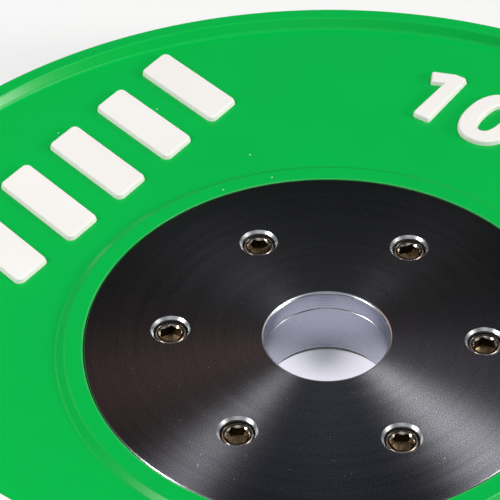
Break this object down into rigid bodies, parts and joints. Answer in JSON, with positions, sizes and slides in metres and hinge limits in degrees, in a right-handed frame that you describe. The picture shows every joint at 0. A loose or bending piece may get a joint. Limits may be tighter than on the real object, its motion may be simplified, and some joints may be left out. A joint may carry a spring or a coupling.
{
  "type": "rubber coated weight plate",
  "caption": "Round rubber coated weight plate with a raised rim, raised numerals and bars, and a two-piece steel hub with a plain bar bore, clamped by socket screws.",
  "frame": {"origin": "on the surface the plate lies on, under the middle of the bore", "axes": "+Z along the bore axis out of the front face with the screw heads; -Y towards the picture's camera; +X to its right"},
  "size_m": [0.45, 0.45, 0.038],
  "materials": {
    "green_rubber": "moulded satin rubber",
    "white_rubber": "moulded satin rubber",
    "black_turned_steel": "face turned and blackened, bare chamfers",
    "plain_steel": "rolled sheet",
    "dark_nickel": "polished dark nickel"
  },
  "bodies": {
    "root": {"anchor_plate": "plain_steel", "back_hub_disc": "black_turned_steel", "back_long_bar_a1": "white_rubber", "back_long_bar_a2": "white_rubber", "back_long_bar_a3": "white_rubber", "back_long_bar_a4": "white_rubber", "back_long_bar_a5": "white_rubber", "back_long_bar_a6": "white_rubber", "back_long_bar_a7": "white_rubber", "back_long_bar_b1": "white_rubber", "back_long_bar_b2": "white_rubber", "back_long_bar_b3": "white_rubber", "back_long_bar_b4": "white_rubber", "back_long_bar_b5": "white_rubber", "back_long_bar_b6": "white_rubber", "back_long_bar_b7": "white_rubber", "back_one_a": "white_rubber", "back_one_b": "white_rubber", "back_short_bar_a1": "white_rubber", "back_short_bar_a2": "white_rubber", "back_short_bar_b1": "white_rubber", "back_short_bar_b2": "white_rubber", "back_zero_a": "white_rubber", "back_zero_b": "white_rubber", "front_hub_disc": "black_turned_steel", "front_long_bar_a1": "white_rubber", "front_long_bar_a2": "white_rubber", "front_long_bar_a3": "white_rubber", "front_long_bar_a4": "white_rubber", "front_long_bar_a5": "white_rubber", "front_long_bar_a6": "white_rubber", "front_long_bar_a7": "white_rubber", "front_long_bar_b1": "white_rubber", "front_long_bar_b2": "white_rubber", "front_long_bar_b3": "white_rubber", "front_long_bar_b4": "white_rubber", "front_long_bar_b5": "white_rubber", "front_long_bar_b6": "white_rubber", "front_long_bar_b7": "white_rubber", "front_one_a": "white_rubber", "front_one_b": "white_rubber", "front_short_bar_a1": "white_rubber", "front_short_bar_a2": "white_rubber", "front_short_bar_b1": "white_rubber", "front_short_bar_b2": "white_rubber", "front_zero_a": "white_rubber", "front_zero_b": "white_rubber", "hub_screw_1": "dark_nickel", "hub_screw_2": "dark_nickel", "hub_screw_3": "dark_nickel", "hub_screw_4": "dark_nickel", "hub_screw_5": "dark_nickel", "hub_screw_6": "dark_nickel", "rubber_body": "green_rubber"}
  },
  "joints": []
}
